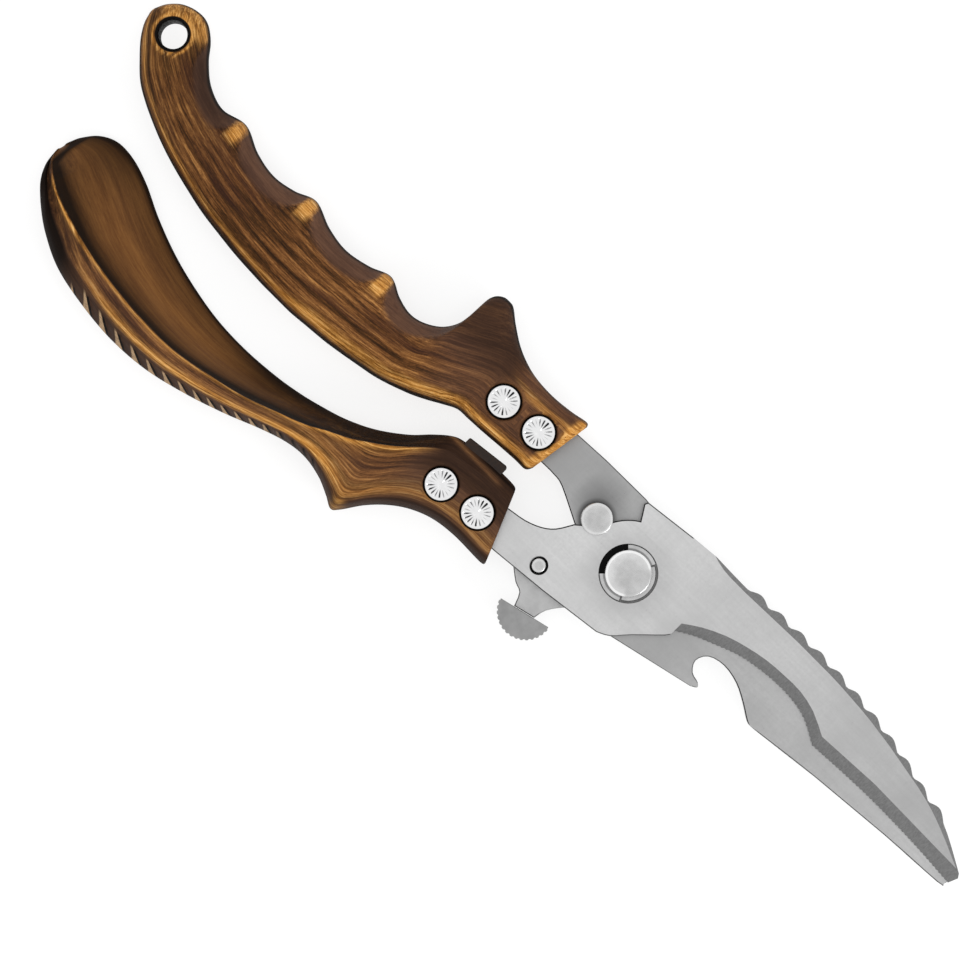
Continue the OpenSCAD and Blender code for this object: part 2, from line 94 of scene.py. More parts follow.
# Finger handle: a point on its top edge, the point across on its bottom edge, half the
# thickness, and how square the section is
FINGER_ROWS = [
    (-28.8, 16.1, -30.9, 1.4, 7.2, 7), (-29.6, 16.8, -31.9, 0.2, 7.9, 7),
    (-33.5, 16.1, -35, 0.1, 8, 6), (-38.5, 15.6, -39.5, -0.2, 8, 6),
    (-43.5, 15.8, -44.5, -0.6, 8, 6), (-47.5, 16.7, -48.5, -0.8, 8, 5),
    (-51.5, 18.4, -51.5, -1, 8, 4), (-55.5, 21, -54.5, -2.5, 8, 3.5),
    (-59, 23.5, -57.5, -4.2, 8, 3), (-61.8, 23.2, -60.5, -5.7, 8, 3),
    (-63.5, 21, -63, -6.7, 8, 3), (-63.7, 16.5, -65.5, -7.6, 8, 3),
    (-64.4, 12.5, -67.7, -8.3, 8, 3), (-66.5, 9.3, -70, -8.9, 8, 2.8),
    (-70, 7.1, -72.7, -9.4, 8, 2.8), (-73.5, 6.4, -75.5, -9.9, 8, 2.8),
    (-77.5, 7.3, -79, -10.5, 8, 2.8), (-82, 9.2, -82.5, -11, 8, 2.8),
    (-87, 7.4, -87, -11.4, 8, 2.8), (-93, 6.3, -93, -11.9, 8, 2.8),
    (-99, 7.2, -99, -11.9, 8, 2.8), (-105, 9.3, -104.5, -11.7, 8, 2.8),
    (-110, 7.5, -109.5, -11.4, 8, 2.8), (-115.5, 6.6, -115, -10.8, 8, 2.8),
    (-121.5, 7.7, -121, -10, 7.9, 2.8), (-127.5, 10.2, -127, -8.7, 7.7, 2.8),
    (-133.5, 9, -132.5, -7.3, 7.4, 2.8), (-138.8, 10.7, -137.5, -5.7, 7, 2.8),
    (-143, 14.1, -142, -3.9, 6.6, 2.8), (-146, 17.7, -146.5, -1.8, 6.2, 2.8),
    (-149.3, 20, -150.5, 0.6, 5.9, 2.8), (-152.5, 20.2, -154, 3.9, 5.6, 2.8),
    (-155.8, 19, -157, 7.2, 5.2, 2.6), (-158.2, 16.7, -158.8, 10.1, 4.2, 2.4),
    (-159.4, 14.4, -159.5, 12.3, 2.6, 2),
]
# Where the bumps between the finger grooves are highest
BUMPS_X = [-127.5, -105, -82]

# Palm handle: a point on its outer edge, the point across on its inner edge, how far across
# the ridge lies, how deep the scoop is (-1 where the inner side is full instead), and the
# ridge's height
PALM_ROWS = [
    (-23.5, -20.4, -30, -4.8, 0.78, -1, 7.2), (-24.6, -21, -31.2, -4, 0.79, -1, 7.8),
    (-32.5, -20.9, -37, -4, 0.8, -1, 7.9), (-38.5, -21.7, -41.5, -4.5, 0.8, -1, 7.9),
    (-43.5, -23.7, -46, -5, 0.8, -1, 7.9), (-47.5, -26.5, -48.5, -6.2, 0.8, -0.8, 7.9),
    (-51, -30.1, -51.5, -8.8, 0.8, -0.3, 7.9), (-54, -34.4, -54.5, -11.9, 0.82, 0, 8),
    (-55.7, -35.8, -58, -14.7, 0.82, 0, 8), (-58.5, -34.4, -61, -16.7, 0.79, 0, 8.1),
    (-62.5, -32.7, -64, -18.3, 0.72, 0.1, 8.3), (-67.5, -31.8, -68, -20, 0.63, 0.25, 8.6),
    (-72.5, -32.3, -72.5, -21.4, 0.5, 0.5, 8.9), (-78.5, -34.2, -78, -22.8, 0.45, 0.75, 9.2),
    (-86.5, -37.4, -84.5, -23.9, 0.42, 0.95, 9.5), (-95.5, -40.4, -93.5, -24.6, 0.41, 1, 9.7),
    (-105.5, -42.8, -102.5, -24.3, 0.39, 1, 9.8),
    (-115.5, -43.5, -111.5, -22.8, 0.38, 1, 9.8),
    (-125.5, -42.6, -119.5, -20.7, 0.355, 1, 9.5),
    (-134.5, -40.7, -127.5, -17.7, 0.32, 1, 8.8),
    (-141.5, -37.4, -134.5, -14.4, 0.26, 1, 7.4),
    (-146.5, -33.9, -140.5, -12.5, 0.2, 1, 5),
    (-150.6, -30, -145.5, -12.3, 0.16, 1, 1.5), (-152.6, -26.9, -149.3, -14.1, 0.13, 1, -1.5),
    (-153.3, -24.4, -151.9, -17.2, 0.12, 1, -3.5), (-153.5, -22.7, -153, -19.7, 0.12, 1, -5),
]

# The palm handle's section: its inner edge and the middle of its back, counted in the order of
# palm_section()'s points, how many points it has, and the steps from each to the next
INNER_EDGE, BACK_MIDDLE, SECTION_POINTS, SECTION_STEPS = 9, 11.5, 15, 5

# ---- Small maths ----


def to_frame(points):
    """Points in millimetres about the pivot as points in the frame."""
    return PIVOT + np.asarray(points, float) * MM


def mix(a, b, share):
    """a where the share is 0 and b where it is 1."""
    return a + (b - a) * share


def smooth(low, high, value):
    """0 below low, 1 above high, and a smooth rise between them; low may lie above high."""
    share = np.clip((np.asarray(value, float) - low) / (high - low), 0, 1)
    return share * share * (3 - 2 * share)


def bell(value, middle, width):
    """1 at the middle, falling to about a third one width away."""
    return np.exp(-(((np.asarray(value, float) - middle) / width) ** 2))


def signed_pow(value, power):
    """The size of a value to a power, with the value's own sign."""
    return np.sign(value) * np.abs(value) ** power


def curve_point(a, b, c, d, t):
    """The point a share t of the way from b to c on a smooth curve through a, b, c and d."""
    return 0.5 * (
        2 * b + (c - a) * t + (2 * a - 5 * b + 4 * c - d) * t**2 + (3 * b - a - 3 * c + d) * t**3
    )


def curve(rows, steps):
    """A smooth curve through the rows, with steps points for each stretch between two rows."""
    rows = np.asarray(rows, float)
    last = len(rows) - 1
    points = [
        curve_point(rows[max(i - 1, 0)], rows[i], rows[i + 1], rows[min(i + 2, last)], k / steps)
        for i in range(last)
        for k in range(steps)
    ]
    return np.array(points + [rows[last]])


def closed_curve(rows, steps):
    """A smooth closed curve through the rows, with steps points from each row to the next."""
    rows = np.asarray(rows, float)
    count = len(rows)
    return np.array([
        curve_point(rows[i - 1], rows[i], rows[(i + 1) % count], rows[(i + 2) % count], k / steps)
        for i in range(count)
        for k in range(steps)
    ])


# ---- Meshes ----


def show(name, mesh):
    """A new object in the scene that shows a mesh."""
    piece = bpy.data.objects.new(name, mesh)
    bpy.context.scene.collection.objects.link(piece)
    return piece


def add_piece(name, points, faces, sharp_angle=SHARP_ANGLE):
    """A mesh object from points in millimetres about the pivot, smooth except at sharp edges."""
    mesh = bpy.data.meshes.new(name)
    mesh.from_pydata(to_frame(points).tolist(), [], [tuple(map(int, f)) for f in faces])
    finish_mesh(mesh, sharp_angle)
    return show(name, mesh)


def finish_mesh(mesh, sharp_angle):
    """Turns every face outwards and marks the edges sharper than an angle in degrees."""
    work = bmesh.new()
    work.from_mesh(mesh)
    bmesh.ops.recalc_face_normals(work, faces=work.faces)
    limit = math.radians(sharp_angle)
    for face in work.faces:
        face.smooth = True
    for edge in work.edges:
        edge.smooth = len(edge.link_faces) == 2 and edge.calc_face_angle() < limit
    work.to_mesh(mesh)
    work.free()


def ring_faces(rings, count):
    """Faces of a tube of rings that have count points each, with its two ends closed."""
    sides = [
        (i * count + j, (i + 1) * count + j, (i + 1) * count + (j + 1) % count,
         i * count + (j + 1) % count)
        for i in range(rings - 1)
        for j in range(count)
    ]
    return sides + [tuple(range(count)), tuple(range((rings - 1) * count, rings * count))]


def lathe(profile, middle=(0, 0)):
    """Points and faces of a profile of radii and heights turned about an upright axis."""
    turn = [2 * math.pi * k / TURN_STEPS for k in range(TURN_STEPS)]
    points = [
        (middle[0] + radius * math.cos(a), middle[1] + radius * math.sin(a), height)
        for radius, height in profile
        for a in turn
    ]
    return points, ring_faces(len(profile), TURN_STEPS)


def prism(outline, low, high):
    """Points and faces of an outline pulled up from one height to another."""
    count = len(outline)
    points = [(x, y, low) for x, y in outline] + [(x, y, high) for x, y in outline]
    return points, ring_faces(2, count)


def cut(piece, cutters):
    """Cuts solids, each given as points and faces, out of a piece."""
    for points, faces in cutters:
        tool = add_piece("cutter", points, faces)
        step = piece.modifiers.new("cut", "BOOLEAN")
        step.operation = "DIFFERENCE"
        step.solver = "EXACT"
        step.object = tool
        graph = bpy.context.evaluated_depsgraph_get()
        result = bpy.data.meshes.new_from_object(piece.evaluated_get(graph))
        piece.modifiers.clear()
        old = piece.data
        piece.data = result
        bpy.data.meshes.remove(old)
        bpy.data.objects.remove(tool)
    finish_mesh(piece.data, SHARP_ANGLE)


def paint(piece, points, looks):
    """Gives each vertex the looks, numbers or vectors by name, of the nearest of the points."""
    tree = kdtree.KDTree(len(points))
    for i, p in enumerate(to_frame(points)):
        tree.insert(p, i)
    tree.balance()
    nearest = [tree.find(v.co)[1] for v in piece.data.vertices]
    for name, values in looks.items():
        values = np.reshape(values, (len(points), -1))[nearest]
        kind, field = ("FLOAT", "value") if values.shape[1] == 1 else ("FLOAT_VECTOR", "vector")
        layer = piece.data.attributes.new(name, kind, "POINT")
        layer.data.foreach_set(field, values.ravel())


def by_recess(place):
    """Whether a place in the frame is in one of the front blade's recesses or on its rim."""
    margin = 0.3
    return any(
        math.dist(place[:2], to_frame((*at, 0))[:2]) < (radius + margin) * MM
        for at, radius in RECESSES
    )


def is_rim(edge, width, finest):
    """Whether an edge parts a flat front face from an upright side, with room for a chamfer."""
    upright, flat = 0.2, 0.98
    if not edge.is_manifold or not edge.is_convex or edge.calc_length() < finest * MM:
        return False
    if by_recess((edge.verts[0].co + edge.verts[1].co) / 2):
        return False
    around = [abs(face.normal.z) for vert in edge.verts for face in vert.link_faces]
    if any(upright < tilt < flat for tilt in around):
        return False
    side, front = sorted(edge.link_faces, key=lambda face: face.normal.z)
    heights = [vert.co.z for vert in side.verts]
    return (abs(side.normal.z) < upright and front.normal.z > flat
            and max(heights) - min(heights) > 3 * width * MM)


def edged_copy(node, width, finest):
    """A copy of a CAD node with a chamfer along the rims of its flat front faces, where the look
    "edge" is painted shade, black: most on the rims that face the handles, and none along the
    cutting stretch on the rims that face the finger handle's side. Rims of recesses, those that
    meet a ground bevel and those in steps shorter than the finest length stay sharp."""
    work = bmesh.new()
    work.from_mesh(frame["nodes"][node].data)
    bmesh.ops.remove_doubles(work, verts=work.verts[:], dist=0.001 * MM)
    bmesh.ops.dissolve_limit(
        work, angle_limit=math.radians(1), verts=work.verts[:], edges=work.edges[:])
    edge_shade = work.faces.layers.float.new("edge")
    chamfers = bmesh.ops.bevel(
        work, geom=[e for e in work.edges if is_rim(e, width, finest)], offset=width * MM,
        segments=1, profile=0.5, affect="EDGES", clamp_overlap=False)["faces"]
    cutting_from = PIVOT[0] + 20 * MM
    # Painted shade on each chamfer: darkest facing the handles, none past the cutting stretch's
    # start where facing the finger handle's side
    for face in chamfers:
        unshaded = face.calc_center_median().x > cutting_from and face.normal.y > 0.4
        face[edge_shade] = 0 if unshaded else mix(0.3, 1, smooth(0.35, -0.35, face.normal.x))
    mesh = bpy.data.meshes.new(node + "_edged")
    work.to_mesh(mesh)
    work.free()
    if "custom_normal" in mesh.attributes:
        mesh.attributes.remove(mesh.attributes["custom_normal"])
    finish_mesh(mesh, 30)
    return show(node + "_edged", mesh)


# ---- Materials ----


def linear(hex_colour):
    """A colour written #rrggbb as the linear values that a shader takes."""
    parts = [int(hex_colour[i : i + 2], 16) / 255 for i in (1, 3, 5)]
    return [c / 12.92 if c <= 0.04045 else ((c + 0.055) / 1.055) ** 2.4 for c in parts] + [1]


class Shader:
    """A material and short ways to add nodes to it."""

    def __init__(self, name, **constants):
        self.material = bpy.data.materials.new(name)
        self.material.use_nodes = True
        self.tree = self.material.node_tree
        self.surface = self.tree.nodes["Principled BSDF"]
        for socket, value in constants.items():
            self.surface.inputs[socket.replace("_", " ")].default_value = value

    def put(self, target, value):
        """Feeds a socket from another node's output, a constant or a colour #rrggbb."""
        if isinstance(value, bpy.types.NodeSocket):
            self.tree.links.new(value, target)
        else:
            target.default_value = linear(value) if isinstance(value, str) else value

    def feed(self, socket, value):
        """The same for a socket of the surface, by its name."""
        self.put(self.surface.inputs[socket], value)

    def attribute(self, name, vector=False):
        node = self.tree.nodes.new("ShaderNodeAttribute")
        node.attribute_name = name
        return node.outputs["Vector" if vector else "Fac"]

    def place(self):
        """Where the surface is in its own space, in metres."""
        return self.tree.nodes.new("ShaderNodeTexCoord").outputs["Object"]

    def scaled(self, vector, scale):
        node = self.tree.nodes.new("ShaderNodeVectorMath")
        node.operation = "MULTIPLY"
        self.put(node.inputs[0], vector)
        node.inputs[1].default_value = scale
        return node.outputs[0]

    def noise(self, vector, scale, detail=3, rough=0.5, twist=0.0):
        node = self.tree.nodes.new("ShaderNodeTexNoise")
        self.put(node.inputs["Vector"], self.scaled(vector, scale))
        node.inputs["Scale"].default_value = 1
        node.inputs["Detail"].default_value = detail
        node.inputs["Roughness"].default_value = rough
        node.inputs["Distortion"].default_value = twist
        return node.outputs["Fac"]

    def sums(self, kind, a, b=0.0):
        """Arithmetic on one or two values."""
        node = self.tree.nodes.new("ShaderNodeMath")
        node.operation = kind
        self.put(node.inputs[0], a)
        self.put(node.inputs[1], b)
        return node.outputs[0]

    def plus(self, a, b):
        return self.sums("ADD", a, b)

    def less(self, a, b):
        return self.sums("SUBTRACT", a, b)

    def times(self, a, b):
        return self.sums("MULTIPLY", a, b)

    def most(self, a, b):
        return self.sums("MAXIMUM", a, b)

    def spread(self, value, low, high, to_low=0.0, to_high=1.0):
        """The value's stretch from low to high moved to another stretch, and clamped there."""
        node = self.tree.nodes.new("ShaderNodeMapRange")
        self.put(node.inputs["Value"], value)
        sockets = ("From Min", "From Max", "To Min", "To Max")
        for socket, number in zip(sockets, (low, high, to_low, to_high)):
            node.inputs[socket].default_value = number
        return node.outputs["Result"]

    def blend(self, share, a, b, kind="MIX"):
        """Colour a where the share is 0, and colour b, or a times b, where it is 1."""
        node = self.tree.nodes.new("ShaderNodeMix")
        node.data_type = "RGBA"
        node.blend_type = kind
        self.put(node.inputs["Factor"], share)
        self.put(node.inputs[6], a)
        self.put(node.inputs[7], b)
        return node.outputs[2]

    def ramp(self, value, stops):
        """Colours at places from 0 to 1."""
        node = self.tree.nodes.new("ShaderNodeValToRGB")
        self.put(node.inputs["Fac"], value)
        marks = node.color_ramp.elements
        while len(marks) < len(stops):
            marks.new(0.5)
        for mark, (at, colour) in zip(marks, stops):
            mark.position = at
            mark.color = linear(colour)
        return node.outputs["Color"]

    def near(self, middle, full, none):
        """1 nearer an upright axis than one radius, falling to 0 at another, in millimetres."""
        offset = self.tree.nodes.new("ShaderNodeVectorMath")
        offset.operation = "SUBTRACT"
        self.put(offset.inputs[0], self.place())
        offset.inputs[1].default_value = to_frame((*middle, 0)).tolist()
        length = self.tree.nodes.new("ShaderNodeVectorMath")
        length.operation = "LENGTH"
        self.put(length.inputs[0], self.scaled(offset.outputs[0], (1, 1, 0)))
        return self.spread(length.outputs["Value"], none * MM, full * MM)

    def part(self, vector, axis):
        """A vector's X, Y or Z."""
        node = self.tree.nodes.new("ShaderNodeSeparateXYZ")
        self.put(node.inputs[0], vector)
        return node.outputs[axis]

    def along(self, start, end):
        """0 before one X in millimetres, rising to 1 at another."""
        low, high = (float(PIVOT[0]) + x * MM for x in (start, end))
        return self.spread(self.part(self.place(), "X"), low, high)

    def below(self, height):
        """1 lower than a height in millimetres."""
        limit = float(PIVOT[2]) + height * MM
        return self.sums("LESS_THAN", self.part(self.place(), "Z"), limit)

    def bump(self, height, depth):
        """Raises the surface by up to a depth in millimetres, where the height is 1."""
        node = self.tree.nodes.new("ShaderNodeBump")
        node.inputs["Distance"].default_value = depth * MM
        self.put(node.inputs["Height"], height)
        self.feed("Normal", node.outputs["Normal"])


def rib_looks(s, speckle):
    """How lit and how shadowed each place on the palm handle's slanted ribs is. rib_phase rises
    by 1 from rib to rib, rib_span falls from 1 at their outer ends to 0 at their inner ends, and
    rib_lit is 0 near the horn, where no rib is lit."""
    rib = s.sums("FRACT", s.attribute("rib_phase"))
    rib_span = s.attribute("rib_span")
    on_rib = s.spread(rib_span, 0.02, 0.15)
    lit_from = s.less(0.68, s.times(rib_span, 0.4))
    lit = s.times(s.spread(s.less(rib, lit_from), 0, 0.08), s.spread(rib, 0.84, 0.81))
    lit = s.times(s.times(lit, on_rib), s.spread(speckle, 0.35, 0.55, 0.3))
    lit = s.times(lit, s.attribute("rib_lit"))
    shadow = s.times(s.spread(rib, 0.82, 0.85), s.spread(rib, 1, 0.96))
    return lit, s.times(shadow, on_rib)


def moulded_grain():
    """Moulded plastic with an antique wood look, and black painted shade in the rivet seats and
    round the hanging hole. Each handle gives places along the grain, and from 0 to 1 how much it
    is rubbed gold, how dark its painted shade is, and how plain it is as a finger groove or as a
    dish."""
    s = Shader("moulded_grain", Specular_IOR_Level=0.08)
    at = s.attribute("grain", vector=True)
    streaks = s.noise(at, (0.03, 0.55, 0.4), detail=4, rough=0.55, twist=0.15)
    fine = s.noise(at, (0.11, 2.4, 1.6), detail=6, rough=0.75, twist=0.1)
    speckle = s.noise(at, (1.1, 4, 4), detail=3, rough=0.75)
    tone = s.plus(s.times(streaks, 0.45), s.times(fine, 0.55))
    tone = s.plus(tone, s.times(s.less(speckle, 0.5), 0.16))
    wood = s.ramp(tone, [
        (0.38, "#231409"), (0.45, "#422913"), (0.51, "#653f20"), (0.57, "#865930"),
        (0.64, "#b07d45"),
    ])
    patches = s.noise(at, (0.035, 0.3, 0.25), detail=2)
    wood = s.blend(s.spread(patches, 0.5, 0.64, 0, 0.5), wood, "#3a2019")
    groove = s.blend(s.spread(tone, 0.42, 0.6), "#4a3226", "#614433")
    dish = s.blend(s.spread(tone, 0.4, 0.62), "#6b4526", "#8f6135")
    body = s.blend(s.attribute("grooved"), wood, groove)
    body = s.blend(s.attribute("dish"), body, dish)
    unshaded = s.ramp(fine, [(0.36, "#8f5a22"), (0.47, "#b97d36"), (0.56, "#d69d54"),
                         (0.68, "#e9bf80")])
    rubbed = s.times(s.attribute("gold"), s.spread(tone, 0.4, 0.56, 0.5, 1.25))
    coloured = s.blend(s.spread(rubbed, 0, 1), body, unshaded)

    # Painted shade, near black, on the hanging hole's wall and in the rivet seats
    dark = s.near(HANG_AT, HANG_R + 0.75, HANG_R + 0.95)
    for rivet in PALM_RIVETS + FINGER_RIVETS:
        dark = s.most(dark, s.near(rivet, SEAT_R - 0.05, SEAT_R + 0.08))
    dark = s.most(dark, s.attribute("shade"))
    lit, rib_shadow = rib_looks(s, speckle)
    dark = s.most(dark, rib_shadow)
    coloured = s.blend(dark, coloured, "#0b0705")
    s.feed("Base Color", s.blend(lit, coloured, "#ad906f"))

    rough = s.spread(fine, 0.3, 0.7, 0.42, 0.58)
    s.feed("Roughness", s.plus(rough, s.times(s.attribute("shade"), 0.3)))
    plain = s.most(s.attribute("grooved"), s.attribute("dish"))
    relief = s.times(s.spread(tone, 0.38, 0.62), s.less(1.0, plain))
    s.bump(s.plus(relief, s.times(speckle, 0.2)), 0.14)
    return s.material


def brushed_steel(name, face, ground, ends, shade_patches=()):
    """Steel with fine brushing, darker and coarser ground bevels where the surface slopes, dull
    sheared sides, and painted shade on its edge chamfers. The ends are the colours that it is
    toned down to near the handles and near the tip, a painted falloff of light. Each painted
    shadow is a middle, two radii between which it fades, the height it lies below and its
    strength."""
    s = Shader(name, Metallic=1.0)
    at = s.place()
    lines = s.noise(at, (30, 900, 900), detail=4, rough=0.65)
    cross = s.noise(at, (1300, 60, 900), detail=3, rough=0.6)
    mottle = s.noise(at, (1500, 1500, 1500), detail=2, rough=0.6)
    cloud = s.noise(at, (70, 70, 70), detail=3, rough=0.55)
    grind = s.noise(at, (3600, 900, 900), detail=3, rough=0.7)
    facing = s.tree.nodes.new("ShaderNodeNewGeometry").outputs["True Normal"]
    flat = s.sums("ABSOLUTE", s.part(facing, "Z"))
    side = s.spread(flat, 0.35, 0.2)
    slope = s.times(s.spread(flat, 0.98, 0.93), s.less(1.0, side))
    grain = s.plus(s.times(lines, 0.45), s.times(mottle, 0.35))
    grain = s.plus(grain, s.times(cross, 0.2))
    colour = s.blend(s.spread(grain, 0.38, 0.62), face[0], face[1])
    colour = s.blend(s.spread(cloud, 0.38, 0.72, 0, 0.8), colour, face[2])
    # A painted falloff of light along the blade, from one end's colour to the other's
    tone = s.blend(s.along(-5, 90), ends[0], ends[1])
    colour = s.blend(1.0, colour, tone, "MULTIPLY")
    dark = s.blend(s.spread(grind, 0.3, 0.7), ground[0], ground[1])
    colour = s.blend(slope, colour, dark)
    colour = s.blend(side, colour, "#6e6e6e")
    # Painted shade, near black, on the edge chamfers
    colour = s.blend(s.attribute("edge"), colour, "#262626")
    # Painted shadows: black in recesses, softer round the pivot and the stop stud
    for middle, full, none, height, strength in shade_patches:
        shade_patch = s.times(s.near(middle, full, none), s.below(height))
        colour = s.blend(s.times(shade_patch, strength), colour, "#141414")
    s.feed("Base Color", colour)
    s.feed("Roughness", s.plus(s.spread(grain, 0.35, 0.65, 0.27, 0.4), s.times(slope, 0.12)))
    s.bump(s.plus(grain, s.times(grind, slope)), 0.012)
    return s.material


def turned_steel(name, colours, rough):
    """Steel with the fine mottle of a turned or pressed part, white with a painted highlight on
    the rims of pin heads and black with painted shade in the pivot's recess and on edge chamfers."""
    s = Shader(name, Metallic=1.0)
    at = s.place()
    grain = s.noise(at, (1400, 1400, 1400), detail=3, rough=0.6)
    cloud = s.noise(at, (300, 300, 300), detail=3, rough=0.6)
    plain = s.blend(s.spread(cloud, 0.35, 0.7), colours[0], colours[1])
    # Painted highlight, white, on the rims of pin heads
    colour = s.blend(s.attribute("rim_glint"), plain, "#ffffff")
    # Painted shade, near black, low in the pivot's recess and on the edge chamfers
    dark = s.most(s.attribute("recess_shade"), s.times(s.attribute("edge"), 0.8))
    s.feed("Base Color", s.blend(dark, colour, "#161616"))
    s.feed("Roughness", s.spread(grain, 0.3, 0.7, *rough))
    s.bump(grain, 0.012)
    return s.material


def bright_chrome():
    """Bright chrome with dark painted shade in the radial cuts and round the rim."""
    s = Shader("cap_chrome_bright", Metallic=1.0)
    grain = s.noise(s.place(), (900, 900, 900), detail=3)
    bright = s.blend(grain, "#eeeeef", "#ffffff")
    # Painted shade, dark, in the radial cuts and round the rim
    cap_shade = s.spread(s.plus(s.attribute("cap_shade"), s.times(grain, 0.5)), 0.5, 0.95)
    s.feed("Base Color", s.blend(cap_shade, bright, "#26272a"))
    s.feed("Roughness", s.spread(grain, 0.3, 0.7, 0.16, 0.28))
    s.bump(grain, 0.01)
    return s.material


def satin_rubber():
    """Near-black satin rubber with a fine moulded grain."""
    s = Shader("bumper_satin", Specular_IOR_Level=0.3)
    at = s.place()
    grain = s.noise(at, (1500, 1500, 1500), detail=4, rough=0.7)
    s.feed("Base Color", s.blend(s.spread(grain, 0.3, 0.7), "#140c08", "#2c1c12"))
    s.feed("Roughness", s.spread(grain, 0.3, 0.7, 0.42, 0.6))
    s.bump(grain, 0.05)
    return s.material


def pale_floor():
    """Paper that glows, so that it shows as plain white."""
    s = Shader("floor_paper", Specular_IOR_Level=0.0)
    fleck = s.noise(s.place(), (40, 40, 40), detail=2)
    s.feed("Base Color", s.blend(fleck, "#8b8b8b", "#909090"))
    s.feed("Roughness", 0.9)
    s.feed("Emission Color", "#ffffff")
    s.feed("Emission Strength", 0.76)
    return s.material


# ---- Handles ----


def pushed(grid, amount):
    """A closed grid of rings moved out along its own normals by an amount at each point."""
    along = np.gradient(grid, axis=0)
    around = np.roll(grid, -1, axis=1) - np.roll(grid, 1, axis=1)
    normal = np.cross(around, along)
    normal /= np.linalg.norm(normal, axis=2, keepdims=True) + 1e-9
    centre = grid.mean(axis=1, keepdims=True)
    outward = np.sign(np.sum(normal * (grid - centre), axis=(1, 2), keepdims=True))
    return grid + normal * outward * amount[..., None]


def kept_inside(grid, node):
    """A grid kept inside the box of the CAD node that it stands for."""
    low, high = ((np.array(corner) - PIVOT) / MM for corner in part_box(node))
    return np.clip(grid, low, high)


def along_lengths(grid):
    """Distance along the middle line to each ring of a grid."""
    middle = grid.mean(axis=1)
    steps = np.linalg.norm(np.diff(middle, axis=0), axis=1)
    return np.concatenate([[0], np.cumsum(steps)])


def grain_places(grid, across, height):
    """Places in the wood look's grain, which runs along the handle's middle line."""
    return np.dstack([along_lengths(grid)[:, None] + 0 * across, across, height])


def seat_cutters(rivets):
    """Cutters of the caps' round seats in both faces, each with a softened lip."""
    above = GRIP_HALF_T + 1.2
    lip = [(AXIS_R, CAP_SEAT), (SEAT_R, CAP_SEAT), (SEAT_R, GRIP_HALF_T - 0.45),
           (SEAT_R + 0.12, GRIP_HALF_T - 0.2), (SEAT_R + 0.4, GRIP_HALF_T + 0.05),
           (SEAT_R + 1.5, above), (AXIS_R, above)]
    return [
        lathe([(r, side * z) for r, z in lip], at) for at in rivets for side in (1, -1)
    ]


def finger_surface():
    """The finger handle's rings of points, and where each lies: how far out towards a face, from
    0 to 1, how far below the top edge and above the bottom edge, and how much in the grooves."""
    steps, count = 8, 64
    rows = curve(FINGER_ROWS, steps)
    turn = 2 * math.pi * (np.arange(count) + 0.5) / count
    top, bottom, half_t = rows[:, None, 0:2], rows[:, None, 2:4], rows[:, 4:5]
    power = 2 / rows[:, 5:6]
    across = signed_pow(np.cos(turn)[None, :], power)
    depth = signed_pow(np.sin(turn)[None, :], power)
    flat = (top + bottom) / 2 + across[..., None] * (top - bottom) / 2
    grid = np.dstack([flat, depth * half_t])
    x, y = grid[..., 0], grid[..., 1]
    outward = np.abs(depth)
    height = np.linalg.norm(top - bottom, axis=2)
    below_top = (1 - across) / 2 * height

    # The grooves run round from the top edge onto both faces and die out below each bump
    in_grooves = smooth(-146.3, -143.5, x) * smooth(-62.5, -66, x)
    bumps = np.clip(sum(bell(x, at, 2.2) for at in BUMPS_X), 0, 1)
    reach = mix(6.4, 0.3, bumps)
    scallop = in_grooves * smooth(reach, reach * 0.25, below_top)
    hollow = scallop * (1 - bumps)
    grid[..., 2] *= 1 - 0.16 * hollow * smooth(0.2, 0.6, outward)
    return kept_inside(grid, "finger_handle"), SimpleNamespace(
        x=x, y=y, outward=outward, below_top=below_top, above_bottom=(1 + across) / 2 * height,
        scallop=scallop, hollow=hollow)


def finger_gold(spot, bump_glow):
    """How much the finger handle is rubbed gold: round the hanging eye and its hole, on the
    bumps, in a band along the bottom edge, along the top of the block and at its front rim."""
    x, y, outward = spot.x, spot.y, spot.outward
    from_eye = np.hypot(x - HANG_AT[0], y - HANG_AT[1])
    eye_angle = np.arctan2(y - HANG_AT[1], x - HANG_AT[0])
    eye = 0.75 * smooth(10, 8, from_eye) * mix(0.1, 1, smooth(0.2, 0.75, np.sin(eye_angle)))
    eye = eye * smooth(-145, -146.5, x) * smooth(0.3, 0.6, outward)
    hole_rim = 0.9 * bell(from_eye, HANG_R + 1.25, 0.35)
    broad = smooth(-100, -86, x)
    narrow = smooth(-58, -48, x)
    band = bell(spot.above_bottom, mix(1.7, mix(2.2, 1.5, narrow), broad),
                mix(0.45, mix(1.05, 0.6, narrow), broad))
    band = band * smooth(0.42, 0.62, outward) * mix(0.6, 1.1, broad)
    front_rim = smooth(-31.6, -30, x + (16 - y) * 0.14)
    top_line = 0.6 * bell(spot.below_top, 3.4, 0.6) * smooth(-50, -40, x)
    on_face = smooth(0.72, 0.97, outward)
    return np.clip(on_face * (front_rim + top_line) + eye + bump_glow + band + hole_rim, 0, 1)


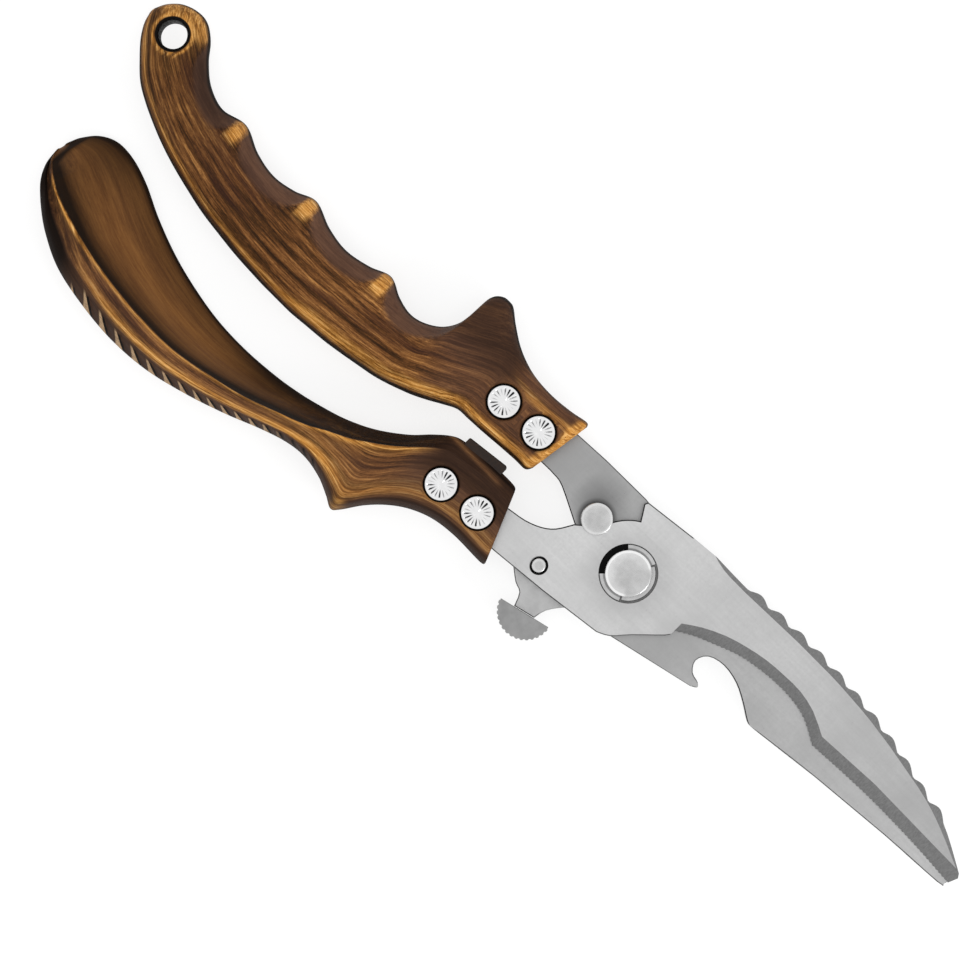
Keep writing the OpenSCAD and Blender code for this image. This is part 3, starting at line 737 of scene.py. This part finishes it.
def finger_looks(grid, spot):
    """The finger handle's looks for moulded_grain()."""
    x, y, outward = spot.x, spot.y, spot.outward
    bump_glow = 1.15 * sum(smooth(2, 0.8, np.abs(x - at)) for at in BUMPS_X)
    bump_glow = bump_glow * smooth(6, 4, spot.below_top) * smooth(0.15, 0.5, outward)
    gold = finger_gold(spot, bump_glow)
    not_gold = smooth(0.6, 0.2, gold)
    horn = smooth(-72, -62, x) * smooth(-44, -50, x) * smooth(1, 9, y)
    block = smooth(-66, -56, x) * smooth(2.5, 4, spot.above_bottom)
    shade = np.clip(
        0.92 * smooth(0.6, 0.25, outward) * not_gold
        + 0.5 * smooth(0.8, 0.2, spot.below_top) + 0.75 * smooth(0.9, 0.3, spot.above_bottom)
        + 0.5 * horn * smooth(5, 14, y) + 0.3 * spot.hollow * smooth(-124, -136, x)
        + mix(0.02, 0.24, smooth(-112, -142, x)) * not_gold, 0, 0.97)
    grooved = smooth(0.15, 0.6, spot.scallop * (1 - 0.9 * bump_glow))
    grooved = np.clip(np.maximum(grooved, np.maximum(0.8 * horn, 0.6 * block)), 0, 1)
    return {"grain": grain_places(grid, spot.above_bottom, grid[..., 2]), "gold": gold,
            "shade": shade, "grooved": grooved, "dish": 0 * x}


def finger_handle():
    """Finger handle with scalloped grooves, a hanging eye and seats for its rivets."""
    grid, spot = finger_surface()
    points = grid.reshape(-1, 3)
    piece = add_piece("finger_handle_shell", points, ring_faces(*grid.shape[:2]))
    lip_r = 2.2
    lip = [(HANG_R + lip_r * (1 - math.cos(a)), HANG_HALF_L + lip_r * math.sin(a))
           for a in np.radians([0, 15, 30, 45, 60, 80])]
    hole = [(r, -z) for r, z in reversed(lip)] + lip
    hole = [(AXIS_R, hole[0][1])] + hole + [(AXIS_R, hole[-1][1])]
    cut(piece, [lathe(hole, HANG_AT)] + seat_cutters(FINGER_RIVETS))
    paint(piece, points, finger_looks(grid, spot))
    return piece


def palm_section(ridge, scoop, ridge_z):
    """Section of the palm handle: shares across and heights, from the outer edge over the ridge
    and through the scoop to the inner edge, then back behind."""
    rim = 1 - ridge
    full = max(-scoop, 0)
    scoop = max(scoop, 0)
    back = -mix(7.5, PALM_DEPTH, scoop)
    return [
        (0, min(scoop, ridge_z - 1)), (0.06, min(mix(5.8, 5, scoop), ridge_z - 0.6)),
        (min(0.17, ridge * 0.6), ridge_z - mix(0.5, 1.8, scoop)),
        (mix(0.17, ridge, 0.6) * min(1, ridge * 5), ridge_z - mix(0, 0.7, scoop)),
        (ridge, ridge_z),
        (ridge + 0.06 * rim, mix(ridge_z - mix(1, 0.3, full), min(ridge_z - 1, 7), scoop)),
        (ridge + 0.2 * rim, mix(mix(5.4, 7.1, full), min(ridge_z - 2, 1), scoop)),
        (ridge + 0.5 * rim, mix(mix(3.4, 6.3, full), min(-4.6, ridge_z - 2.5), scoop)),
        (ridge + 0.8 * rim, mix(mix(1.6, 5.2, full), -6.4, scoop)),
        (1, mix(mix(-0.5, 3.4, full), -8, scoop)), (0.96, mix(-5.6, -9.6, scoop)), (0.8, back),
        (0.45, back), (0.2, mix(back, -8.8, scoop)), (0.05, mix(-5.5, -5, scoop)),
    ]


def palm_surface():
    """The palm handle's rings of points with its ribs pressed in, and where each lies. A station
    is a place counted in palm_section()'s points, and from_outer counts the same, but below 0
    behind the outer edge."""
    steps = 20
    rows = curve(PALM_ROWS, steps)
    sections = np.array([closed_curve(palm_section(*row[4:7]), SECTION_STEPS) for row in rows])
    share = sections[..., 0]
    outer, inner = rows[:, None, 0:2], rows[:, None, 2:4]
    flat = outer + share[..., None] * (inner - outer)
    grid = np.dstack([flat, sections[..., 1]])
    x = grid[..., 0]
    station = np.arange(share.shape[1])[None, :] / SECTION_STEPS + 0 * share
    from_outer = np.where(station > BACK_MIDDLE, station - SECTION_POINTS, station)

    # Slanted ribs: a sawtooth along the outer edge, with a pitch that grows towards the heel
    rib_pitch, pitch_growth, even_from, rib_depth = 3, 0.0765, -88, 0.3
    inner_edge = grid[:, INNER_EDGE * SECTION_STEPS, :2]
    width = np.linalg.norm(grid[:, 0, :2] - inner_edge, axis=1)[:, None]
    along = x + 1.6 * share * width - even_from
    wider = 1 + pitch_growth / rib_pitch * np.maximum(-along, 0)
    phase = np.maximum(along, 0) / rib_pitch - np.log(wider) / pitch_growth
    saw = phase - np.floor(phase)
    crest = smooth(0.0, 0.75, saw) * smooth(1.0, 0.9, saw)
    rib_length = smooth(-131, -124, x) * smooth(-60, -68, x)
    ribbed = rib_length * smooth(1.85, 1.4, from_outer) * smooth(0.1, 0.7, from_outer)
    shell = kept_inside(pushed(grid, ribbed * (crest - 1) * rib_depth), "palm_handle")

    y = shell[..., 1]
    in_front = station < INNER_EDGE + 0.5
    block = smooth(-54, -46, x)
    return shell, SimpleNamespace(
        x=x, y=y, z=grid[..., 2], share=share, station=station, from_outer=from_outer,
        in_front=in_front, scoop=np.clip(rows[:, 5], 0, 1)[:, None] + 0 * x, rib_phase=phase,
        rib_span=rib_length * np.clip((1.6 - from_outer) / 1.6, 0, 1) * (from_outer > -1),
        heel=smooth(-128, -146, x), block=block,
        # A faint painted highlight on the rounded top of the block
        crease_highlight=block * smooth(-32, -35, x) * bell(y, -6, 0.5) * in_front)


def palm_gold(spot):
    """How much the palm handle is rubbed gold: along its ridge and its outer edge, on the neck
    and at the horn's tip; and a faint painted highlight on the rounded top of the block."""
    x, from_outer = spot.x, spot.from_outer
    ridge_line = bell(from_outer, 4 - 0.3 * spot.heel, mix(0.25, 0.6, spot.heel))
    ridge_line = ridge_line * smooth(-46, -56, x) * smooth(-150, -147.5, x)
    ridge_line = ridge_line * mix(0.6, 1, smooth(-105, -90, x) + smooth(-130, -142, x))
    outer_line = bell(from_outer, 2.15, 0.3) * mix(0.85, 0, smooth(-112, -136, x))
    outer_line = outer_line * mix(1, 0.4, smooth(-66, -56, x))
    neck = bell(x, -70, 9) * smooth(1.6, 2.4, from_outer) * smooth(4.4, 3.9, from_outer)
    horn_tip = 0.8 * bell(x, -55.3, 1.5) * smooth(-31.5, -33.5, spot.y) * (from_outer > 0)
    on_face = smooth(1.3, 2, from_outer) * smooth(5.2, 4.2, from_outer)
    gold = on_face * (ridge_line + outer_line + 0.2 * neck)
    return np.clip(gold + horn_tip + 0.12 * spot.crease_highlight, 0, 1)


def dish_shade(spot):
    """The palm dish's shade: at the ridge's foot, round its rim, on its inner side and at its
    ends."""
    x, station, scoop = spot.x, spot.station, spot.scoop
    foot = scoop * smooth(4.15, 4.5, spot.from_outer) * smooth(6.9, 4.9, spot.from_outer)
    foot = foot * smooth(-152.6, -149.5, x)
    rim = scoop * smooth(8.5, 8.95, station) * (station < INNER_EDGE + 1.5)
    side = scoop * smooth(6.3, 8.6, station) * spot.in_front
    heel_rim = bell(x, -151.8, 0.9) * (station < INNER_EDGE) * (station > 3)
    on_dish = scoop * spot.in_front * smooth(4.2, 4.8, spot.from_outer)
    ends = 0.3 * smooth(-130, -148, x) + 0.4 * smooth(-101, -82, x) + 0.05
    return 0.9 * foot + 0.85 * rim + 0.5 * side + 0.6 * heel_rim + on_dish * ends


def palm_looks(grid, spot):
    """The palm handle's looks for moulded_grain()."""
    x, y, from_outer, block = spot.x, spot.y, spot.from_outer, spot.block
    gold = palm_gold(spot)
    strip = smooth(2, 1.5, from_outer) * smooth(-0.8, -0.2, from_outer)
    outline = bell(from_outer, -0.1, mix(0.35, 0.5, spot.heel))
    heel_strip = smooth(-126, -139, x) * smooth(3.75, 3.2, from_outer) * (from_outer > -1)
    inner_side = spot.in_front * (1 - spot.scoop) * smooth(4.2, 5, from_outer)
    block_top = block * smooth(0.42, 0.62, spot.share) * spot.in_front
    shade = np.clip(0.56 * strip + 0.45 * outline + 0.5 * heel_strip + dish_shade(spot)
                    + 0.5 * block_top * (1 - spot.crease_highlight) + 0.3 * block_top * bell(y, -4.6, 0.4)
                    + 0.16 * block * (1 - gold) + 0.85 * inner_side * (1 - block), 0, 0.96)
    dish = spot.scoop * smooth(4.3, 5, from_outer) * (spot.station < INNER_EDGE + 1)
    grooved = 0.7 * strip + 0.5 * block_top + 0.6 * block + 0.3 * smooth(4, 3, from_outer)
    grain_width = 19
    return {"grain": grain_places(grid, spot.share * grain_width, spot.z), "gold": gold,
            "shade": shade, "grooved": np.clip(grooved, 0, 0.9) * (1 - dish), "dish": dish,
            "rib_phase": spot.rib_phase, "rib_span": spot.rib_span,
            "rib_lit": smooth(-72, -80, x)}


def palm_handle():
    """Palm handle with its ridge, its scoop and the slanted ribs along its outer edge."""
    grid, spot = palm_surface()
    points = grid.reshape(-1, 3)
    piece = add_piece("palm_handle_shell", points, ring_faces(*grid.shape[:2]))
    cut(piece, [prism(PAD_OUTLINE, -PAD_HALF_W, PAD_HALF_W)] + seat_cutters(PALM_RIVETS))
    paint(piece, points, palm_looks(grid, spot))
    return piece


def bumper_pad():
    """Raised pad on the palm handle, with rounded edges."""
    points, faces = prism(PAD_OUTLINE, -PAD_HALF_W, PAD_HALF_W)
    piece = add_piece("bumper_pad_soft", points, faces)
    step = piece.modifiers.new("soften", "BEVEL")
    step.width = 0.45 * MM
    step.segments = 4
    step.limit_method = "ANGLE"
    step.angle_limit = math.radians(SHARP_ANGLE)
    step.harden_normals = True
    return piece


# ---- Rivet caps ----


def cap_rings(at, side):
    """Points of one bright cap with a plain rim and a star of radial cuts, and how dark the
    painted shade is at each point, which is most in the cuts and round the rim."""
    cuts, per_cut, cut_depth, spin = 18, 5, 0.22, 0.1
    count = cuts * per_cut
    turn = 2 * math.pi * np.arange(count) / count
    number = np.arange(count) // per_cut
    in_cut = np.where(np.arange(count) % per_cut < 2, 0.6 + 0.4 * (number * 5 % 7) / 6, 0.0)
    length = 0.55 + 0.45 * np.sin(turn) ** 2
    points, cap_shade = [], []
    # From the rim's foot to the middle, with each ring's share of the cuts' depth and its painted
    # shade
    for radius, height, share, rim_shade in (
        (3.3, 0.0, 0, 1), (CAP_R, 0.0, 0, 1), (CAP_R, 1.05, 0, 1), (3.5, 1.21, 0, 0.5),
        (3.4, 1.23, 0, 0), (3.2, 1.24, 0, 0), (3.05, 1.22, 0, 0), (2.9, 1.24, 0.8, 0),
        (2.2, 1.32, 1, 0), (1.5, 1.36, 0.7, 0), (1.0, 1.38, 0.2, 0), (0.45, 1.38, 0, 0),
    ):
        drop = in_cut * share * length
        points += [
            (at[0] + radius * math.cos(a + spin), at[1] + radius * math.sin(a + spin),
             side * (CAP_SEAT + height - cut_depth * d))
            for a, d in zip(turn, drop)
        ]
        cap_shade += (drop + rim_shade).tolist()
    return points, cap_shade, ring_faces(len(points) // count, count)


def rivet_caps(name, rivets, side):
    """A handle's caps on its front, side 1, or on its back, side -1."""
    points, cap_shade, faces = [], [], []
    for at in rivets:
        new_points, new_cap_shade, new_faces = cap_rings(at, side)
        faces += [tuple(i + len(points) for i in face) for face in new_faces]
        points += new_points
        cap_shade += new_cap_shade
    piece = add_piece(name, points, faces, sharp_angle=12)
    paint(piece, points, {"cap_shade": cap_shade})
    return piece


# ---- Pivot washer and turned pins ----


def keyed_washer():
    """Open ring under the bolt's head. The key in its middle is narrower, a radial notch parts it
    from each arm, and a low flange fills the recess round it; painted shade darkens the flange
    and the notches. Angles are in degrees."""
    thickness, flange_t, inner_r = 0.55, 0.15, BOLT_R + 0.05
    arm_end, key_end, notch, step = 135, 60, 4, 2.5
    degrees = sorted(set(np.arange(-arm_end, arm_end + step / 2, step).tolist())
                     | {sign * (key_end + k) for sign in (-1, 1) for k in (-0.1, 0.1, notch)})
    points, recess_shade = [], []
    for degree in degrees:
        a = math.radians(degree)
        beyond = abs(degree) - key_end
        on_key, in_notch = beyond < 0, 0 <= beyond < notch - 0.5
        body_r = RECESS_R - (0.5 if on_key else 0.15)
        top = flange_t if in_notch else thickness
        groove_shade = 0.1 if on_key else 0.55
        # The third number of each point is how dark its painted shade is, most low in the recess
        section = [
            (inner_r, 0, 1), (RECESS_R - 0.03, 0, 1), (RECESS_R - 0.03, flange_t, 0.75),
            (body_r, flange_t, 0.75), (body_r, max(top - 0.1, flange_t), 0.3),
            (body_r - 0.12, top, 0.05), (BOLT_HEAD_R + 0.52, top, 0.05),
            (BOLT_HEAD_R + 0.35, top, groove_shade), (BOLT_HEAD_R, top, groove_shade),
            (inner_r, top, 0.5),
        ]
        points += [(r * math.cos(a), r * math.sin(a), RECESS_FLOOR + z) for r, z, _ in section]
        recess_shade += [0.7 if in_notch else dark for _, _, dark in section]
    faces = ring_faces(len(degrees), len(section))
    piece = add_piece("pivot_front_washer_keyed", points, faces, 25)
    paint(piece, points, {"recess_shade": recess_shade})
    return piece


def headed_pin(name, at, stem, head, shine, in_sectors=False):
    """A pin turned in one piece, with a rounded rim and a shallow dished face on its head. The
    stem is a list of radii and heights from the far end up, and the head is its radius, its
    underside and its top. The rim gets a painted highlight, all round or only away from the
    washer's key."""
    head_r, head_low, top = head
    rim = 0.35
    rounded = [(head_r - rim + rim * math.cos(a), top - rim + rim * math.sin(a))
               for a in np.radians([0, 22, 45, 68, 90])]
    face = [(head_r - rim - 0.18, top), (head_r - rim - 0.3, top - 0.05),
            (head_r * 0.5, top - 0.05), (AXIS_R, top - 0.04)]
    profile = [(AXIS_R, stem[0][1])] + stem + [(head_r, head_low)] + rounded + face
    points, faces = lathe(profile, at)
    radius = np.repeat([r for r, _ in profile], TURN_STEPS)
    height = np.repeat([z for _, z in profile], TURN_STEPS)
    # Painted highlight on the head's rounded rim
    rim_glint = shine * smooth(head_r - 0.75, head_r - 0.5, radius) * (height > head_low + 0.1)
    if in_sectors:
        angle = np.tile(360 * np.arange(TURN_STEPS) / TURN_STEPS, len(profile))
        off_key = np.abs((angle + 180) % 360 - 180)
        rim_glint = rim_glint * mix(0.15, 1, smooth(50, 62, off_key))
    piece = add_piece(name, points, faces, 30)
    paint(piece, points, {"rim_glint": rim_glint})
    return piece


def pivot_bolt():
    stem = [(BOLT_R - 0.3, BOLT_LOW), (BOLT_R, BOLT_LOW + 0.3), (BOLT_R, BOLT_HEAD_LOW)]
    head = (BOLT_HEAD_R, BOLT_HEAD_LOW, BOLT_TOP)
    return headed_pin("pivot_bolt_turned", (0, 0), stem, head, shine=1, in_sectors=True)


def stop_stud():
    stem = [(STUD_COLLAR_R - 0.15, STUD_LOW), (STUD_COLLAR_R, STUD_LOW + 0.15),
            (STUD_COLLAR_R, STUD_COLLAR_TOP), (STUD_R, STUD_COLLAR_TOP), (STUD_R, STUD_HEAD_LOW)]
    head = (STUD_HEAD_R, STUD_HEAD_LOW, STUD_TOP)
    return headed_pin("stop_stud_turned", STUD_AT, stem, head, shine=0.4)


def lock_pin():
    stem = [(LOCK_TAIL_R - 0.15, LOCK_LOW), (LOCK_TAIL_R, LOCK_LOW + 0.15),
            (LOCK_TAIL_R, LOCK_TAIL_TOP), (LOCK_PIN_R, LOCK_TAIL_TOP),
            (LOCK_PIN_R, LOCK_HEAD_LOW)]
    head = (LOCK_HEAD_R, LOCK_HEAD_LOW, LOCK_TOP)
    return headed_pin("lock_pin_turned", LOCK_AT, stem, head, shine=0.25)


# ---- Putting it together ----

GRAIN = moulded_grain()
ANY_HEIGHT = 2 * FACE_Z
# Painted light and shade on the steel: each blade toned darker towards one end, black in the
# front blade's recesses, soft shadows round the pivot and round and above the stop stud
FRONT_STEEL = brushed_steel(
    "front_steel_brushed", ("#d2d2d2", "#dedede", "#c9c9c9"), ("#757575", "#8c8c8c"),
    ends=("#ffffff", "#dddddd"),
    shade_patches=[((0, 0), RECESS_R + 0.1, RECESS_R + 0.2, FACE_Z - 0.3, 1),
            ((LOCK_AT[0] + 0.3, LOCK_AT[1]), LOCK_RECESS_R, LOCK_RECESS_R + 0.2, FACE_Z - 0.2, 1),
            ((0, 0), RECESS_R + 0.2, RECESS_R + 5, ANY_HEIGHT, 0.12)])
REAR_STEEL = brushed_steel(
    "rear_steel_brushed", ("#c0c0c0", "#cbcbcb", "#b6b6b6"), ("#757575", "#8c8c8c"),
    ends=("#e6e6e6", "#ffffff"),
    shade_patches=[(STUD_AT, STUD_HEAD_R, STUD_HEAD_R + 1.2, ANY_HEIGHT, 0.6),
            ((STUD_AT[0] - 1.5, STUD_AT[1] + 3), 1, 7, ANY_HEIGHT, 0.45)])
PIVOT_STEEL = turned_steel("pivot_steel_turned", ("#c2c2c2", "#dadada"), (0.22, 0.34))
PAD_STEEL = turned_steel("pad_steel_blasted", ("#989898", "#a8a8a8"), (0.42, 0.55))
LEVER_STEEL = turned_steel("lever_steel_brushed", ("#bababa", "#c8c8c8"), (0.3, 0.42))
SPRING_STEEL = turned_steel("spring_wire", ("#77787a", "#8b8c8e"), (0.3, 0.4))
RIVET_STEEL = turned_steel("rivet_steel_plain", ("#a5a6a8", "#b4b5b7"), (0.3, 0.4))
BRASS = turned_steel("bush_brass_turned", ("#b79a5c", "#c9ae72"), (0.25, 0.35))
CHROME = bright_chrome()
RUBBER = satin_rubber()

# Nodes that keep their CAD meshes
KEPT_NODES = {
    "palm_rivet_posts": RIVET_STEEL, "finger_rivet_posts": RIVET_STEEL, "pivot_bush": BRASS,
    "pivot_rear_washer": PIVOT_STEEL, "pivot_nut": PIVOT_STEEL, "pivot_spring": SPRING_STEEL,
    "lock_washer": SPRING_STEEL,
}


def dress(piece, material):
    """Gives a piece one material."""
    piece.data.materials.clear()
    piece.data.materials.append(material)


def stand_for(piece, node, body, material):
    """Shows a piece in place of a CAD node."""
    dress(piece, material)
    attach(piece, body)
    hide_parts(node)


for node, material in KEPT_NODES.items():
    for slot in frame["nodes"][node].material_slots:
        slot.material = material

# The blades, the lever and its pad, with each rim's width and the finest step that has a rim
for node, body, slot, material, width, finest in (
    ("front_blade", "front_half", "front_steel", FRONT_STEEL, 0.24, 0.3),
    ("rear_blade", "rear_half", "rear_steel", REAR_STEEL, 0.22, 0.6),
    ("lock_lever", "lock", "lever_steel", LEVER_STEEL, 0.22, 0.2),
    ("lock_thumb_pad", "lock", "pad_steel", PAD_STEEL, 0.4, 3),
):
    stand_for(edged_copy(node, width, finest), node, body, material)

stand_for(finger_handle(), "finger_handle", "rear_half", GRAIN)
stand_for(palm_handle(), "palm_handle", "front_half", GRAIN)
stand_for(bumper_pad(), "bumper_pad", "front_half", RUBBER)
for piece, node, body in (
    (keyed_washer(), "pivot_front_washer", "front_half"),
    (pivot_bolt(), "pivot_bolt", "front_half"),
    (stop_stud(), "stop_stud", "rear_half"),
    (lock_pin(), "lock_pin", "front_half"),
):
    stand_for(piece, node, body, PIVOT_STEEL)
for node, rivets, side, body in (
    ("palm_rivet_caps", PALM_RIVETS, 1, "front_half"),
    ("palm_rivet_rear_caps", PALM_RIVETS, -1, "front_half"),
    ("finger_rivet_caps", FINGER_RIVETS, 1, "rear_half"),
    ("finger_rivet_rear_caps", FINGER_RIVETS, -1, "rear_half"),
):
    stand_for(rivet_caps(node + "_cut", rivets, side), node, body, CHROME)

# ---- Stage, light and camera ----


def floor():
    """Wide pale sheet under the shears."""
    size = 8
    corners = [(-size, -size, 0), (size, -size, 0), (size, size, 0), (-size, size, 0)]
    mesh = bpy.data.meshes.new("floor")
    mesh.from_pydata(corners, [], [(0, 1, 2, 3)])
    piece = show("floor", mesh)
    dress(piece, pale_floor())


def soft_light(name, at, size, watts, mirrored=True):
    """A square soft light that points at the origin, and that metal mirrors or doesn't."""
    data = bpy.data.lights.new(name, "AREA")
    data.shape = "SQUARE"
    data.size = size
    data.energy = watts
    lamp = bpy.data.objects.new(name, data)
    lamp.location = at
    lamp.rotation_euler = (Vector() - Vector(at)).to_track_quat("-Z", "Y").to_euler()
    lamp.visible_camera = False
    lamp.visible_glossy = mirrored
    bpy.context.scene.collection.objects.link(lamp)


def studio():
    """Even surroundings with two soft lights."""
    world = bpy.data.worlds.new("studio")
    world.use_nodes = True
    background = world.node_tree.nodes["Background"]
    background.inputs["Color"].default_value = (1, 1, 1, 1)
    background.inputs["Strength"].default_value = 0.88
    bpy.context.scene.world = world
    soft_light("overhead", (0, 0, 1.7), 0.8, 7, mirrored=False)
    soft_light("key", (1.1, 0, 0.9), 0.4, 4)
    bpy.context.scene.view_settings.view_transform = "Standard"


def photo_camera():
    """Straight above, turned so that the tip points down to the right."""
    height = 1.1
    field = 0.2087
    seen_middle = to_frame((-37.1, -8.4, 0))
    data = bpy.data.cameras.new("camera")
    data.sensor_width = 36
    data.lens = data.sensor_width * height / field
    data.clip_end = 50
    camera = bpy.data.objects.new("camera", data)
    camera.location = (seen_middle[0], seen_middle[1], seen_middle[2] + height)
    camera.rotation_euler = (0, 0, math.radians(45))
    bpy.context.scene.collection.objects.link(camera)
    bpy.context.scene.camera = camera


floor()
studio()
photo_camera()
